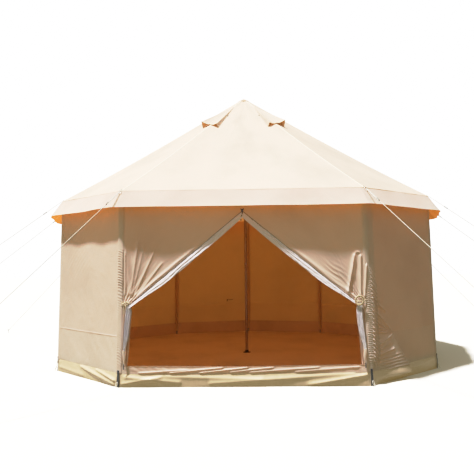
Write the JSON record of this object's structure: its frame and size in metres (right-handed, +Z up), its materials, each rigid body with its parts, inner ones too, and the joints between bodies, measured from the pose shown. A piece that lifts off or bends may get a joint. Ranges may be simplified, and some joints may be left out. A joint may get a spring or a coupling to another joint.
{
  "type": "canvas yurt tent",
  "caption": "Round canvas yurt tent with a pyramid roof on a centre pole, upright walls on corner poles, a valance, a front doorway with its flaps tied back, and guy ropes to pegs.",
  "frame": {"origin": "on the ground at the foot of the centre pole, on the groundsheet's underside", "axes": "+Z up along the centre pole, -Y out through the doorway, +X to the right of someone who faces the doorway from outside"},
  "size_m": [10.12, 9.4443, 3.4923],
  "materials": {
    "roof_canvas": "woven cotton canvas, cream white",
    "wall_canvas": "woven cotton canvas, warm beige",
    "coated_band": "coated cloth, matt, wrinkled",
    "groundsheet": "coated cloth, matt",
    "net": "fine insect net",
    "dark_net": "fine vent net",
    "rope": "twisted rope",
    "dark_steel": "dark painted tube",
    "steel": "galvanised",
    "webbing": "black webbing",
    "black_plastic": "moulded"
  },
  "bodies": {
    "root": {"groundsheet": "groundsheet", "groundsheet_edge": "groundsheet", "mud_wall": "coated_band", "wall_panel_1": "wall_canvas", "wall_panel_2": "wall_canvas", "wall_panel_3": "wall_canvas", "wall_panel_4": "wall_canvas", "wall_panel_5": "wall_canvas", "wall_panel_6": "wall_canvas", "wall_panel_7": "wall_canvas", "wall_panel_8": "wall_canvas", "wall_panel_9": "wall_canvas", "wall_panel_10": "wall_canvas", "front_wall_left": "wall_canvas", "front_wall_right": "wall_canvas", "door_sill": "wall_canvas", "door_flap_left": "wall_canvas", "door_flap_right": "wall_canvas", "door_nets": "net", "hanging_nets": "net", "door_ties": "rope", "zip_pull": "webbing", "roof_panel_1": "roof_canvas", "roof_panel_2": "roof_canvas", "roof_panel_3": "roof_canvas", "roof_panel_4": "roof_canvas", "roof_panel_5": "roof_canvas", "roof_panel_6": "roof_canvas", "roof_panel_7": "roof_canvas", "roof_panel_8": "roof_canvas", "roof_panel_9": "roof_canvas", "roof_panel_10": "roof_canvas", "roof_panel_11": "roof_canvas", "valance": "roof_canvas", "vent_hoods": "roof_canvas", "vent_nets": "dark_net", "apex_cap": "roof_canvas", "centre_pole": "dark_steel", "pole_foot": "dark_steel", "wall_poles": "steel", "corner_straps": "webbing", "guy_rings": "steel", "guy_ropes": "rope", "guy_sliders": "black_plastic", "pegs": "steel"}
  },
  "joints": []
}
